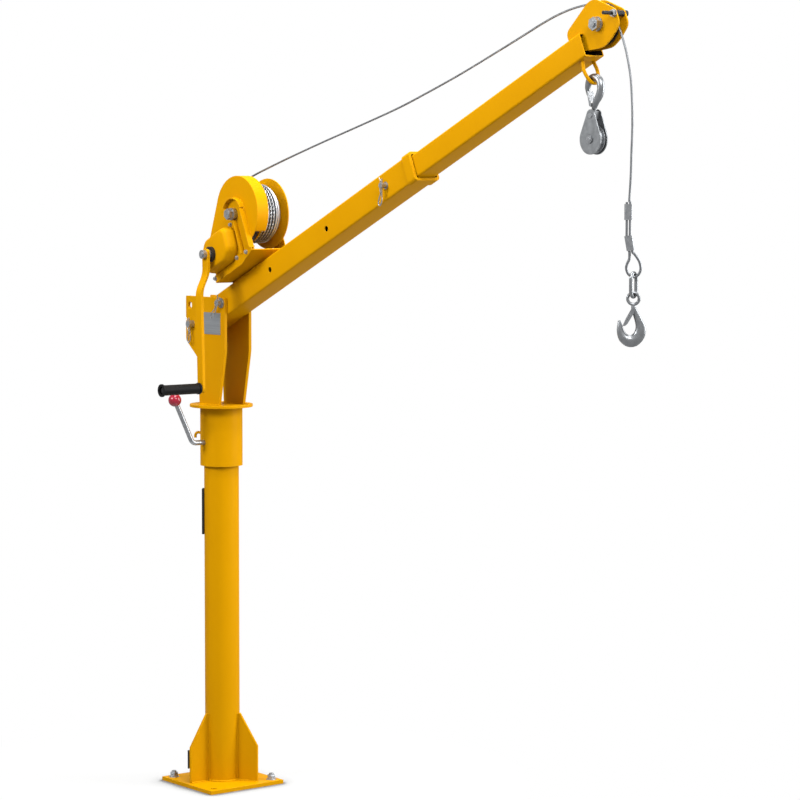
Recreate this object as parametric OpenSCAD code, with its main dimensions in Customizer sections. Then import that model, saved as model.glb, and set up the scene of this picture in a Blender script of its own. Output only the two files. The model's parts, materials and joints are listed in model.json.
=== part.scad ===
// Bolt-down swivel davit crane: round post with a clamped swivel head, a
// two-part square boom, a hand brake winch, wire rope, load hook and snatch block.
// Origin: centre of the base plate's underside. Z is up, the boom reaches toward
// +X and the winch crank is on the -Y side. Millimetres and degrees.

/* [Node] */
// Sub-part to draw, or all of them

/* [Base] */
// Side of the square base plate
base_w = 225; // [205:5:280]
// Thickness of the base plate
base_t = 10; // [8:1:16]
// Distance between neighbouring anchor holes
anchor_pitch = 180; // [160:5:188]
// Diameter of the anchor holes
anchor_hole_d = 16; // [12:1:20]
// Thickness of the three gussets
gusset_t = 8; // [5:1:12]
// Radius the gussets reach out to
gusset_r = 100; // [75:1:108]
// Height of the gussets' top above the ground
gusset_top = 184; // [140:2:260]

/* [Post] */
// Outside diameter of the post
post_d = 88.9; // [76:0.1:96]
// Wall of the post
post_wall = 4; // [3:0.5:8]
// Height of the post's top above the ground
post_top = 966; // [800:1:1200]

/* [Swivel head] */
// Length of the sleeve that turns on the post
sleeve_len = 150; // [130:1:220]
// Wall of the sleeve
sleeve_wall = 6; // [5:0.5:8]
// Radial room between post and sleeve, filled by the bushes
bush_t = 3.47; // [3:0.01:5]
// Radius of the flange under the yoke
flange_r = 80.5; // [78:0.5:100]
// Thickness of the flange
flange_t = 7; // [5:1:12]
// Thickness of each yoke plate
yoke_t = 8; // [6:0.5:10]
// Height of the boom pivot above the flange
pivot_h = 261; // [235:1:310]
// Distance of the boom pivot from the post's axis
pivot_x = 62; // [56:1:66]
// Diameter of the boom pivot pin
pivot_d = 16; // [12:1:18]
// Radius of the arc of angle holes about the pivot
angle_r = 142; // [132:1:146]
// Diameter of the angle holes
angle_hole_d = 18; // [12:1:20]
// Step between the angle holes
angle_step = 20; // [14:1:22]
// Diameter of the clamp screw
clamp_d = 13; // [10:0.5:14]
// Diameter of the clamp lever's ball
knob_d = 33; // [26:1:34]

/* [Boom] */
// Angle of the boom above the horizontal
boom_tilt = 24.3; // [20:0.1:30]
// Side of the outer boom tube
boom_w = 65; // [62:1:66]
// Wall of both boom tubes
boom_wall = 3; // [2.5:0.25:4]
// Length of the outer boom in front of the pivot
boom_front = 840; // [800:5:1000]
// Length of the outer boom behind the pivot
boom_tail = 159; // [150:1:162]
// Distance from the pivot to the first extension hole
first_hole = 217; // [210:1:240]
// Distance between the extension holes
hole_pitch = 256; // [200:1:262]
// Diameter of the extension holes
ext_hole_d = 14; // [10:1:16]
// Wall of the collar at the outer boom's mouth
collar_t = 4; // [3:0.5:8]
// Length of the collar
collar_len = 29; // [15:1:60]
// Side of the inner boom tube
inner_w = 55; // [48:1:56]
// Distance from the pivot to the inner boom's front end
inner_front = 1470; // [1400:5:1600]

/* [Boom head] */
// Radius of the head sheave
sheave_r = 45; // [36:1:46]
// Width of the head sheave's rim
sheave_w = 15; // [12:1:18]
// Thickness of each head cheek
cheek_t = 4; // [4:0.5:8]
// Diameter of the head axle
axle_d = 16; // [12:1:18]
// Diameter of the loop rod under the boom head
loop_d = 8; // [6:0.5:9]

/* [Winch] */
// Radius of the winch drum's outer flange
drum_flange_r = 88; // [80:1:90]
// Radius of the rope wound on the drum
winding_r = 74; // [60:1:76]
// Number of teeth of the drum gear
gear_teeth = 52; // [40:1:60]
// Crank length from its shaft to the grip
crank_len = 333; // [280:1:334]
// Diameter of the grip
grip_d = 26; // [22:1:28]
// Length of the grip
grip_len = 113; // [100:1:125]

/* [Rope and hooks] */
// Diameter of the wire rope
rope_d = 5; // [4:0.5:5]
// Radius of the snatch block's side plates
block_r = 33; // [31:0.5:36]
// Inside radius of the load hook's bowl
hook_bowl_r = 12; // [10:0.5:13]

/* [Hidden] */
$fn = 96;

yellow = "#f2b100";
zinc = "#b8bcc0";
galvanised = "#8f9396";
black = "#1c1c1e";
red = "#b3122b";
plate_grey = "#9aa0a4";

// Clearances
run_gap = 0.08;   // radial room of a turning pin or bush
set_gap = 0.05;   // radial room of a pin that stays put
face_gap = 0.3;   // room between the faces of parts that move past each other
slot_gap = 1;     // room between the boom's side and a yoke plate
tuck = 0.15;      // how far straight edges run inside the arcs they meet

// Swivel head
sleeve_ir = post_d / 2 + bush_t + run_gap;
sleeve_or = sleeve_ir + sleeve_wall;
pad_t = 7;
sleeve_top = post_top + pad_t + face_gap;
sleeve_low = sleeve_top - sleeve_len;
flange_top = sleeve_top + flange_t;
clamp_z = sleeve_low + 61;
yoke_in = boom_w / 2 + slot_gap;
yoke_out = yoke_in + yoke_t;
pivot_z = flange_top + pivot_h;
pin_near = 15.5;   // length a pin stands out in front of the near plate
pin_head_t = 5.5;
clip_d = 3;

// Boom
tube_corner = 5;
boom_in = boom_w - 2 * boom_wall;
ext_pin_u = first_hole + 2 * hole_pitch;
inner_back = boom_front - 150;
pad_w = 30;
ext_pin_d = ext_hole_d - 1;

// Boom head, in the boom's own frame: u along it, v square to it
axle_u = inner_front + 50.5;
axle_v = 24;
cheek_in = sheave_w / 2 + 3;
cheek_out = cheek_in + cheek_t;
cheek_seat = 24;                      // how far the cheeks reach back into the tube
rope_r = rope_d / 2;
rope_line_r = sheave_r - 3;          // radius of the rope's centre on the head sheave
keeper_u = axle_u + sheave_r + 10.5;
keeper_v = axle_v - 2;
keeper_d = 8;
loop_u = inner_front - 24;
loop_half = 19.5;                    // widest half of the loop, across the boom
loop_v = -79;                        // lowest centre of the loop rod

// Winch, in its own frame: a along the boom, b above the boom's top face
winch_u = 95;
crank_b = 62;
drum_a = 86;
drum_b = 133;
mount_t = 4;
tray_t = 3;
tray_b = mount_t + tray_t;
ramp_a = 72;
ramp_end = 127;
ramp_rise = 0.285;
tray_near = -75;
tray_far = 45;
side_y = tray_near + tray_t;         // front face of the side plate
side_t = 4;
upright_y = side_y + side_t;
cover_y = upright_y + tray_t;        // near face of the gear cover
cover_deep = 34;
cover_r = drum_flange_r + 1;
cover_mid = [drum_a + 8, drum_b + 3];   // the cover sits a little forward of the shaft
cover_small_r = 50;
cover_small_mid = [-10, 84];
gear_tip_r = cover_r - 12;           // clears the cover by 5 mm where it is nearest
gear_root_r = gear_tip_r - 7;
drum_shaft_d = 20;
core_r = 25;
bush_d = 38;
bush_far = -104;
bush_near = -112;
crank_shaft_d = 16;
arm_w = 24;
arm_t = 8;
arm_y = -124;                        // near face of the arm's upper part
arm_step = 22;
crank_lean = 1.8;                    // the arm hangs this far off the vertical
grip_rod_d = 10;
grip_dish = 9;                        // depth of the hollow that hides the rod's head
grip_y = arm_y - arm_step - 3;

// Rope fall, in its own frame: s across, w down from the upper ferrule's top
head_x = pivot_x + axle_u * cos(boom_tilt) - axle_v * sin(boom_tilt);
head_z = pivot_z + axle_u * sin(boom_tilt) + axle_v * cos(boom_tilt);
fall_x = head_x + 85;
fall_z = head_z - 381.6;
fall_turn = 50;
strand_s = 3.5;
ferrule_h = 34;
strand_w = 33;
lower_h = 32;
lower_tilt = 10;
eye_rod_r = 3;
eye_s = 12;
eye_w = -155;                        // lowest centre of the rope eye
link_d = 8;
link_half = 13;
link_room = 1.5;                     // slack between the rope eye and the link, which lies askew
link_turn = 62;
link_top = eye_w + eye_rod_r + link_d / 2 + link_room;
link_low = link_top - 50.5;
ring_rod_r = 3.3;
ring_r = 12.2;
ring_w = link_low + link_d / 2 + 3 * face_gap + ring_rod_r - ring_r;
bowl_s = 5;
bowl_w = ring_w - 65.3;

// Snatch block, hung from the loop
loop_x = pivot_x + loop_u * cos(boom_tilt) - loop_v * sin(boom_tilt);
loop_z = pivot_z + loop_u * sin(boom_tilt) + loop_v * cos(boom_tilt);
bight_r = 21;
bight_rod_r = 8.2;
bight_z = loop_d / 2 + face_gap - (bight_r - bight_rod_r);   // from the loop's rod
block_plate_t = 2.5;
block_in = 8.5;
block_axle_z = bight_z - 111.3;
block_top_z = bight_z - 60.3;
block_axle_d = 10;
shank_r = 5;

// ---- helpers -------------------------------------------------------------

function unit(v) = v / norm(v);
function lerp(a, b, t) = a + (b - a) * t;

// Outline with its corners rounded over; a corner whose cut is 0 stays sharp
function soften(pts, cuts, n = 4) = [
  for (i = [0 : len(pts) - 1])
    let (b = pts[i], a = pts[(i + len(pts) - 1) % len(pts)], c = pts[(i + 1) % len(pts)],
         cut = is_list(cuts) ? cuts[i] : cuts,
         p = b + cut * unit(a - b), q = b + cut * unit(c - b))
      for (k = [0 : cut > 0 ? n : 0]) let (t = k / n)
        cut > 0 ? (1 - t) * (1 - t) * p + 2 * t * (1 - t) * b + t * t * q : b
];

// Smooth line through the given points, m steps to each span
function spline(p, m) = let (n = len(p)) concat(
  [for (i = [0 : n - 2]) let (
      a = i > 0 ? p[i - 1] : 2 * p[0] - p[1], b = p[i], c = p[i + 1],
      d = i < n - 2 ? p[i + 2] : 2 * p[n - 1] - p[n - 2])
    for (k = [0 : m - 1]) let (t = k / m)
      0.5 * (2 * b + (c - a) * t + (2 * a - 5 * b + 4 * c - d) * t * t
             + (3 * b - a - 3 * c + d) * t * t * t)],
  [p[n - 1]]);

// Rod swept along a line of points; r and q are lists of the ring's half widths
// in the line's own plane and square to it, flat is that plane's normal
module rod(p, r, q, flat, sides) {
  n = len(p);
  tangent = [for (i = [0 : n - 1]) unit(p[min(i + 1, n - 1)] - p[max(i - 1, 0)])];
  points = [for (i = [0 : n - 1])
    let (e = unit(cross(tangent[i], flat)), f = cross(e, tangent[i]))
      for (k = [0 : sides - 1]) let (a = 360 * (k + 0.5) / sides)
        p[i] + r[i] * cos(a) * e + q[i] * sin(a) * f];
  faces = concat(
    [[for (k = [sides - 1 : -1 : 0]) k]],
    [for (i = [0 : n - 2]) for (k = [0 : sides - 1]) let (
        a = i * sides + k, b = i * sides + (k + 1) % sides)
      [a, b, b + sides, a + sides]],
    [[for (k = [0 : sides - 1]) (n - 1) * sides + k]]);
  polyhedron(points = points, faces = faces, convexity = 10);
}

// Plate parallel to the boom's side, between two distances across the boom
module side_plate(y0, y1) translate([0, y1, 0]) rotate([90, 0, 0]) linear_extrude(y1 - y0)
  children();

// Round bar across the boom
module cross_bar(d, y0, y1) translate([0, y1, 0]) rotate([90, 0, 0]) cylinder(d = d, h = y1 - y0);

module cross_hex(af, y0, y1) translate([0, y1, 0]) rotate([90, 0, 0])
  cylinder(d = af / cos(30), h = y1 - y0, $fn = 6);

// Plate shaped as two discs joined by their outer tangents, a hair inside the discs
module disc_pair(y0, y1, c1, r1, c2, r2) {
  d = c2 - c1;
  a = acos((r1 - r2) / norm(d));
  h = atan2(d[1], d[0]);
  e = [cos(h + a), sin(h + a)];
  f = [cos(h - a), sin(h - a)];
  translate([c1[0], 0, c1[1]]) cross_bar(2 * r1, y0, y1);
  translate([c2[0], 0, c2[1]]) cross_bar(2 * r2, y0, y1);
  side_plate(y0, y1) polygon([c1 + (r1 - tuck) * e, c2 + (r2 - tuck) * e,
                              c2 + (r2 - tuck) * f, c1 + (r1 - tuck) * f]);
}

module round_square(w, r) {
  square([w, w - 2 * r], center = true);
  square([w - 2 * r, w], center = true);
  for (x = [-1, 1]) for (y = [-1, 1]) translate([x, y] * (w / 2 - r)) circle(r, $fn = 48);
}

module box_tube(w, wall, r, u0, u1) translate([u0, 0, 0]) rotate([90, 0, 90])
  linear_extrude(u1 - u0) difference() {
    round_square(w, r);
    round_square(w - 2 * wall, max(r - wall, 1));
  }

module on_boom() translate([pivot_x, 0, pivot_z]) rotate([0, -boom_tilt, 0]) children();
module on_winch() on_boom() translate([winch_u, 0, boom_w / 2]) children();
module on_crank() on_winch() translate([0, 0, crank_b]) rotate([0, boom_tilt - crank_lean, 0])
  children();
module on_fall() translate([fall_x, 0, fall_z]) rotate([0, 0, fall_turn]) children();
module on_loop() translate([loop_x, 0, loop_z]) children();
module at_angle(i) translate([pivot_x - angle_r * cos(boom_tilt + i * angle_step), 0,
                              pivot_z - angle_r * sin(boom_tilt + i * angle_step)]) children();

// ---- post (stands still) -------------------------------------------------

module base_plate() color(yellow) difference() {
  translate([-base_w / 2, -base_w / 2, 0]) cube([base_w, base_w, base_t]);
  for (x = [-1, 1]) for (y = [-1, 1]) translate([x * anchor_pitch / 2, y * anchor_pitch / 2, -1])
    cylinder(d = anchor_hole_d, h = base_t + 2);
}

module post_tube() color(yellow) translate([0, 0, base_t]) difference() {
  cylinder(d = post_d, h = post_top - base_t);
  translate([0, 0, -1]) cylinder(d = post_d - 2 * post_wall, h = post_top - base_t + 2);
}

// Three gussets, a third of a turn apart
module gussets() color(yellow) difference() {
  for (a = [30, 150, 270]) rotate([0, 0, a]) side_plate(-gusset_t / 2, gusset_t / 2)
    polygon([[post_d / 2 - 6, base_t], [gusset_r, base_t], [gusset_r, gusset_top - 82],
             [post_d / 2 + 6.5, gusset_top], [post_d / 2 - 6, gusset_top]]);
  translate([0, 0, base_t - 1]) cylinder(d = post_d, h = gusset_top);
}

// Slip pad on the post's top that carries the swivel head
module thrust_pad() color(black) translate([0, 0, post_top]) cylinder(d = post_d - 1, h = pad_t);

// ---- swivel head ---------------------------------------------------------

module sleeve() color(yellow) difference() {
  translate([0, 0, sleeve_low]) cylinder(r = sleeve_or, h = sleeve_len);
  translate([0, 0, sleeve_low - 1]) cylinder(r = sleeve_ir, h = sleeve_len + 2);
  translate([0, 0, clamp_z]) cross_bar(clamp_d + 2 * run_gap, -sleeve_or - 5, 0);
}

module sleeve_bushes() color(black) for (z = [[3, 37], [sleeve_len - 43, sleeve_len - 8]])
  translate([0, 0, sleeve_low]) difference() {
    translate([0, 0, z[0]]) cylinder(r = sleeve_ir, h = z[1] - z[0]);
    translate([0, 0, z[0] - 1]) cylinder(d = post_d + 2 * run_gap, h = z[1] - z[0] + 2);
  }

module swivel_flange() color(yellow) translate([0, 0, sleeve_top]) cylinder(r = flange_r, h = flange_t);

yoke_outline = soften([[-98, pivot_h + 13], [76, pivot_h + 13], [76, 138], [48, 0], [-38, 0],
                       [-44, 116], [-98, 160]], [4, 4, 10, 0, 0, 10, 8]);

module yoke_plate(y0) difference() {
  translate([0, 0, flange_top]) side_plate(y0, y0 + yoke_t) polygon(yoke_outline);
  translate([pivot_x, 0, pivot_z]) cross_bar(pivot_d + 2 * set_gap, y0 - 1, y0 + yoke_t + 1);
  for (i = [-1, 0, 1]) at_angle(i) cross_bar(angle_hole_d, y0 - 1, y0 + yoke_t + 1);
}
module yoke_plate_left() color(yellow) yoke_plate(yoke_in);
module yoke_plate_right() color(yellow) yoke_plate(-yoke_out);

// Cross hole for a spring clip, near the front end of a pin
module clip_hole(y, lean, d) translate([0, y, 0]) rotate([0, lean, 0])
  translate([0, 0, -20]) cylinder(d = clip_d + 2 * set_gap, h = 40, $fn = 24);

pivot_clip_y = -yoke_out - pin_near + 5;
pivot_clip_lean = 28;
angle_clip_lean = -8;

module pivot_pin() color(zinc) translate([pivot_x, 0, pivot_z]) difference() {
  union() {
    cross_bar(pivot_d, -yoke_out - pin_near, yoke_out);
    cross_bar(pivot_d + 8, yoke_out, yoke_out + pin_head_t);
    difference() {
      cross_bar(pivot_d + 9, -yoke_out - 2.5, -yoke_out);
      cross_bar(pivot_d - 1, -yoke_out - 3, -yoke_out + 1);
    }
  }
  clip_hole(pivot_clip_y, pivot_clip_lean, pivot_d);
}

// Angle pin: the two ends that stand in the yoke plates
module angle_pin() color(zinc) at_angle(0) difference() {
  union() {
    cross_bar(angle_hole_d - 2 * set_gap, -yoke_out - pin_near, -yoke_in);
    cross_bar(angle_hole_d - 2 * set_gap, yoke_in, yoke_out);
    cross_bar(angle_hole_d + 7, yoke_out, yoke_out + pin_head_t);
  }
  clip_hole(pivot_clip_y, angle_clip_lean, angle_hole_d);
}

// Spring clip: one straight leg through the pin, one bowed leg over it
module spring_clip(pin_d) {
  bow = pin_d / 2 + clip_d / 2 + face_gap;
  line = spline([[0, 0, 16], [0, 0, -16], [0, 0, -34], [4, 0, -44], [9, 0, -47], [13, 0, -41],
                 [10, 0, -30], [5, 0, -19], [bow - 2, 0, -10], [bow, 0, 0], [bow - 3, 0, 10],
                 [bow + 2, 0, 18]], 4);
  rod(line, [for (p = line) clip_d / 2], [for (p = line) clip_d / 2], [0, 1, 0], 8);
}

module pin_clips() color(zinc) {
  translate([pivot_x, pivot_clip_y, pivot_z]) rotate([0, pivot_clip_lean, 0])
    mirror([1, 0, 0]) spring_clip(pivot_d);
  at_angle(0) translate([0, pivot_clip_y, 0]) rotate([0, angle_clip_lean, 0])
    mirror([1, 0, 0]) spring_clip(angle_hole_d);
}

// Blank rating plate
module rating_plate() color(plate_grey) translate([-16, -yoke_out - 1, flange_top + 180])
  cube([74, 1, 55]);

// Bent rod on the sleeve where the load hook is parked
module parking_hook() color(yellow) difference() {
  rotate([0, 0, 215]) translate([sleeve_or + 8, 0, clamp_z + 12]) rotate([90, 0, 0]) {
    rotate_extrude(angle = 180) translate([9, 0]) circle(3.5, $fn = 32);
    translate([9, 0, 0]) rotate([90, 0, 0]) cylinder(r = 3.5, h = 5, $fn = 32);
  }
  translate([0, 0, sleeve_low]) cylinder(r = sleeve_or, h = sleeve_len);
}

// ---- clamp lever (turns about the clamp screw) ----------------------------

clamp_bend_r = 16;
clamp_rise = [-53, 112];             // from the bend to the ball, across and up
clamp_angle = atan2(clamp_rise[1], -clamp_rise[0]);
clamp_cut = clamp_bend_r * tan(clamp_angle / 2);
clamp_bend_y = -sleeve_or - 35;

clamp_foot_y = clamp_bend_y + clamp_cut;
clamp_dir = unit([0, clamp_rise[0], clamp_rise[1]]);
clamp_line = concat([[0, clamp_foot_y + 2, clamp_z]],
  [for (k = [0 : 8]) let (a = clamp_angle * k / 8)
    [0, clamp_foot_y - clamp_bend_r * sin(a), clamp_z + clamp_bend_r * (1 - cos(a))]],
  [[0, clamp_bend_y, clamp_z] + clamp_dir * (norm(clamp_rise) - 8)]);

module clamp_screw() color(zinc) translate([0, 0, clamp_z])
  cross_bar(clamp_d, clamp_foot_y + 2, -post_d / 2 - face_gap);

module clamp_arm() color(zinc)
  rod(clamp_line, [for (p = clamp_line) clamp_d / 2], [for (p = clamp_line) clamp_d / 2], [1, 0, 0], 24);

module clamp_knob() color(red) difference() {
  translate([0, clamp_bend_y + clamp_rise[0], clamp_z + clamp_rise[1]]) sphere(d = knob_d);
  translate([0, clamp_bend_y, clamp_z]) rotate([90 - clamp_angle, 0, 0])
    cylinder(d = clamp_d + 2 * set_gap, h = norm(clamp_rise) - 8 + face_gap);
}

// ---- outer boom and winch frame ------------------------------------------

module outer_boom() color(yellow) on_boom() difference() {
  box_tube(boom_w, boom_wall, tube_corner, -boom_tail, boom_front);
  cross_bar(pivot_d + 2 * run_gap, -boom_w, boom_w);
  translate([-angle_r, 0, 0]) cross_bar(angle_hole_d, -boom_w, boom_w);
  for (i = [0 : 2]) translate([first_hole + i * hole_pitch, 0, 0]) cross_bar(ext_hole_d, -boom_w, boom_w);
}

module boom_collar() color(yellow) on_boom() translate([boom_front - collar_len, 0, 0])
  rotate([90, 0, 90]) linear_extrude(collar_len) difference() {
    round_square(boom_w + 2 * collar_t, tube_corner + collar_t);
    round_square(boom_w, tube_corner);
  }

// Slip pads between the two boom tubes: four strips, each on one wall
module four_pads(u0, u1, near, far) on_boom() for (a = [0 : 90 : 270]) rotate([a, 0, 0])
  translate([u0, -pad_w / 2, near]) cube([u1 - u0, pad_w, far - near]);

module mouth_pads() color(black)
  four_pads(boom_front - 80, boom_front - 40, inner_w / 2 + run_gap, boom_in / 2);

module tail_pads() color(black)
  four_pads(inner_back + 2, inner_back + 24, inner_w / 2, boom_in / 2 - run_gap);

// Extension pin: the two ends that stand in the outer boom's walls
module extension_pin() color(zinc) on_boom() translate([ext_pin_u, 0, 0]) difference() {
  union() {
    cross_bar(ext_pin_d, -boom_w / 2 - 17, -boom_in / 2);
    cross_bar(ext_pin_d, boom_in / 2, boom_w / 2 + 1);
    cross_bar(ext_pin_d + 7, boom_w / 2, boom_w / 2 + pin_head_t);
    cross_bar(ext_hole_d + 3, -boom_w / 2 - 1.5, -boom_w / 2);
  }
  rotate([0, boom_tilt, 0]) clip_hole(-boom_w / 2 - 12, 0, ext_pin_d);
}

module extension_clip() color(zinc) on_boom() translate([ext_pin_u, -boom_w / 2 - 12, 0])
  rotate([0, boom_tilt, 0]) mirror([1, 0, 0]) spring_clip(ext_pin_d);

module winch_mount_plate() color(yellow) on_winch() translate([-50, -25, 0]) cube([130, 50, mount_t]);

function ramp(a) = tray_b + (a - ramp_a) * ramp_rise;

module winch_tray() color(yellow) on_winch() {
  side_plate(tray_near, tray_far)
    polygon([[-50, mount_t], [ramp_a, mount_t], [ramp_end, ramp(ramp_end) - tray_t],
             [ramp_end, ramp(ramp_end)], [ramp_a, tray_b], [-50, tray_b]]);
  side_plate(tray_near, side_y)
    polygon([[-50, tray_b], [ramp_a, tray_b], [ramp_end, ramp(ramp_end)], [ramp_end, 27],
             [80, 27], [72, 32], [64, 32], [50, 23], [-46, 23], [-50, 20]]);
}

// Plate the brake housing is screwed to
module winch_side_plate() color(yellow) on_winch() side_plate(side_y, upright_y)
  polygon(concat([[-48, tray_b], [ramp_a - 2, tray_b]],
    soften([[80, 26], [82, 100], [72, 121], [56, 121], [48, 113], [-26, 112], [-48, 88], [-50, 28]], 4)));

// Upright in front of the gear cover: flat plate with flanged edges
module winch_near_upright() color(yellow) on_winch() {
  difference() {
    union() {
      side_plate(upright_y, cover_y) union() {
        polygon([[drum_a, ramp(drum_a)], [ramp_end, ramp(ramp_end)], [ramp_end, drum_b], [drum_a, drum_b]]);
        translate([drum_a + 3, drum_b]) circle(40);
      }
      side_plate(upright_y - 12, upright_y) {
        polygon([[ramp_end - 3, 27], [ramp_end, 27], [ramp_end, drum_b], [ramp_end - 3, drum_b]]);
        difference() {
          translate([drum_a + 3, drum_b]) circle(40);
          translate([drum_a + 3, drum_b]) circle(37);
          polygon([[drum_a + 3, drum_b], [drum_a + 60, drum_b], [drum_a + 60, 0], [-20, 0],
                   [-20, drum_b + 95]]);
        }
      }
      side_plate(upright_y - 12, side_y)
        polygon([[drum_a - 0.1, 27], [drum_a + 3, 27], [drum_a + 3, drum_b - 18], [drum_a - 0.1, drum_b - 18]]);
      side_plate(side_y, upright_y)
        polygon([[drum_a - 0.1, ramp(drum_a)], [drum_a + 3, ramp(drum_a + 3)],
                 [drum_a + 3, drum_b - 18], [drum_a - 0.1, drum_b - 18]]);
    }
    translate([drum_a, 0, drum_b]) cross_bar(drum_shaft_d + 2 * set_gap, upright_y - 20, cover_y + 1);
  }
}

module winch_far_upright() color(yellow) on_winch() difference() {
  side_plate(tray_far - tray_t, tray_far) union() {
    polygon([[drum_a - 24, ramp(drum_a - 24) > tray_b ? ramp(drum_a - 24) : tray_b], [ramp_a, tray_b],
             [drum_a + 24, ramp(drum_a + 24)], [drum_a + 24, drum_b], [drum_a - 24, drum_b]]);
    translate([drum_a, drum_b]) circle(24);
  }
  translate([drum_a, 0, drum_b]) cross_bar(drum_shaft_d + 2 * set_gap, tray_far - 5, tray_far + 1);
}

// Pressed cover over the gear and its pinion, open at the lower front
module gear_cover() color(yellow) on_winch() difference() {
  disc_pair(cover_y, cover_y + cover_deep, cover_mid, cover_r, cover_small_mid, cover_small_r);
  disc_pair(cover_y + tray_t, cover_y + cover_deep + 1, cover_mid, cover_r - tray_t,
            cover_small_mid, cover_small_r - tray_t);
  side_plate(cover_y + tray_t, cover_y + cover_deep + 1)
    polygon([[drum_a, drum_b - 70], [drum_a + 90, drum_b - 70], [drum_a + 90, 0], [drum_a, 0]]);
  translate([drum_a, 0, drum_b]) cross_bar(drum_shaft_d + 2 * set_gap, cover_y - 1, cover_y + 5);
}

// Pressed housing of the load brake: its wall draws in a little, then rounds over
// into the face. Each ring is its distance across the boom and its size.
housing_foot = soften([[-44, 24], [46, 24], [72, 46], [76, 96], [64, 110], [-22, 108], [-43, 86]],
                      [10, 12, 12, 9, 9, 12, 12]);
housing_mid = [18, 66];
housing_rings = [[side_y, 1], [side_y - 20, 0.97], [bush_far + 7, 0.93], [bush_far + 3, 0.89],
                 [bush_far + 0.8, 0.84], [bush_far, 0.78]];
module brake_housing() color(yellow) on_winch() difference() {
  n = len(housing_foot);
  last = len(housing_rings) - 1;
  polyhedron(points = [for (ring = housing_rings) for (p = housing_foot)
      let (q = lerp(housing_mid, p, ring[1])) [q[0], ring[0], q[1]]],
    faces = concat([[for (k = [0 : n - 1]) k]],
      [for (j = [0 : last - 1]) for (k = [0 : n - 1]) let (a = j * n + k, b = j * n + (k + 1) % n)
        [b, a, a + n, b + n]],
      [[for (k = [n - 1 : -1 : 0]) last * n + k]]), convexity = 6);
  translate([0, 0, crank_b]) cross_bar(crank_shaft_d + 6, bush_far - 1, side_y - 8);
}

module crank_bush() color(black) on_winch() translate([0, 0, crank_b]) difference() {
  cross_bar(bush_d, bush_near, bush_far);
  cross_bar(crank_shaft_d + 2 * run_gap, bush_near - 1, bush_far + 1);
}

module drum_shaft() color(zinc) on_winch() translate([drum_a, 0, drum_b]) {
  cross_bar(drum_shaft_d, upright_y - 24, tray_far + 3);
  difference() {
    union() {
      cross_bar(30, upright_y - 12, upright_y);
      cross_hex(24, upright_y - 23, upright_y - 12);
      cross_hex(24, tray_far, tray_far + 10);
    }
    cross_bar(drum_shaft_d - 1, upright_y - 24, tray_far + 3);
  }
}

// ---- drum (turns on its shaft) --------------------------------------------

drum_gear_y = [cover_y + tray_t + 4, cover_y + tray_t + 24];
winding_y = [drum_gear_y[1] + 7, 33];

module drum() color(yellow) on_winch() translate([drum_a, 0, drum_b]) difference() {
  union() {
    cross_bar(2 * core_r, drum_gear_y[1], winding_y[1]);
    cross_bar(2 * drum_flange_r, winding_y[1], winding_y[1] + 3);
    cross_bar(2 * winding_r + 2, drum_gear_y[1] + 4, winding_y[0]);
    cross_bar(drum_shaft_d + 14, winding_y[1], tray_far - tray_t - face_gap);
  }
  cross_bar(drum_shaft_d + 2 * run_gap, drum_gear_y[1] - 1, tray_far);
}

module drum_gear() color(black) on_winch() translate([drum_a, 0, drum_b]) difference() {
  side_plate(drum_gear_y[0], drum_gear_y[1]) polygon([
    for (i = [0 : gear_teeth - 1]) for (k = [[0, 0], [0.2, 1], [0.45, 1], [0.65, 0]])
      let (a = 360 * (i + k[0]) / gear_teeth, r = k[1] > 0 ? gear_tip_r : gear_root_r)
        [r * cos(a), r * sin(a)]]);
  cross_bar(drum_shaft_d + 2 * run_gap, drum_gear_y[0] - 1, drum_gear_y[1] + 1);
}

// Rope wound on the drum, thinner toward the outer flange
module rope_winding() color(galvanised) on_winch() translate([drum_a, winding_y[1], drum_b])
  rotate([90, 0, 0]) rotate_extrude()
    polygon([[core_r, 0], [winding_r - 20, 0], [winding_r - 15, 6], [winding_r - 2, 19], [winding_r, 22],
             [winding_r, winding_y[1] - winding_y[0]], [core_r, winding_y[1] - winding_y[0]]]);

// ---- crank ----------------------------------------------------------------

module crank_arm() color(yellow) on_crank() {
  difference() {
    intersection() {
      translate([-arm_w / 2, 0, 0]) rotate([90, 0, 90]) linear_extrude(arm_w)
        polygon(soften([[arm_y, 20], [arm_y, -48], [arm_y - arm_step, -91], [arm_y - arm_step, -crank_len - 20],
                        [arm_y - arm_step + arm_t, -crank_len - 20], [arm_y - arm_step + arm_t, -89],
                        [arm_y + arm_t, -46], [arm_y + arm_t, 20]], [0, 15, 15, 0, 0, 15, 15, 0]));
      disc_pair(arm_y - arm_step - 5, arm_y + 20, [0, 0], arm_w / 2 + 2, [0, -crank_len], arm_w / 2);
    }
    cross_bar(14 + 2 * set_gap, arm_y - 5, arm_y + 10);
  }
  translate([0, 0, -crank_len]) {
    cross_bar(grip_rod_d, grip_y - grip_len + grip_dish - 5, arm_y - arm_step + arm_t + 3);
    cross_bar(grip_rod_d + 5, grip_y - grip_len + grip_dish - 5, grip_y - grip_len + grip_dish - face_gap);
    cross_bar(grip_rod_d + 5, grip_y + face_gap, arm_y - arm_step + 1);
  }
}

module crank_shaft() color(zinc) on_crank() {
  cross_bar(crank_shaft_d, arm_y + arm_t, side_y - 14);
  cross_bar(14, arm_y - 12, arm_y + arm_t);
  difference() {
    union() {
      cross_bar(24, arm_y + arm_t, bush_near - face_gap);
      cross_bar(22, arm_y - 9.5, arm_y);
    }
    cross_bar(13, arm_y - 12, arm_y + arm_t + 10);
  }
}

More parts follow.
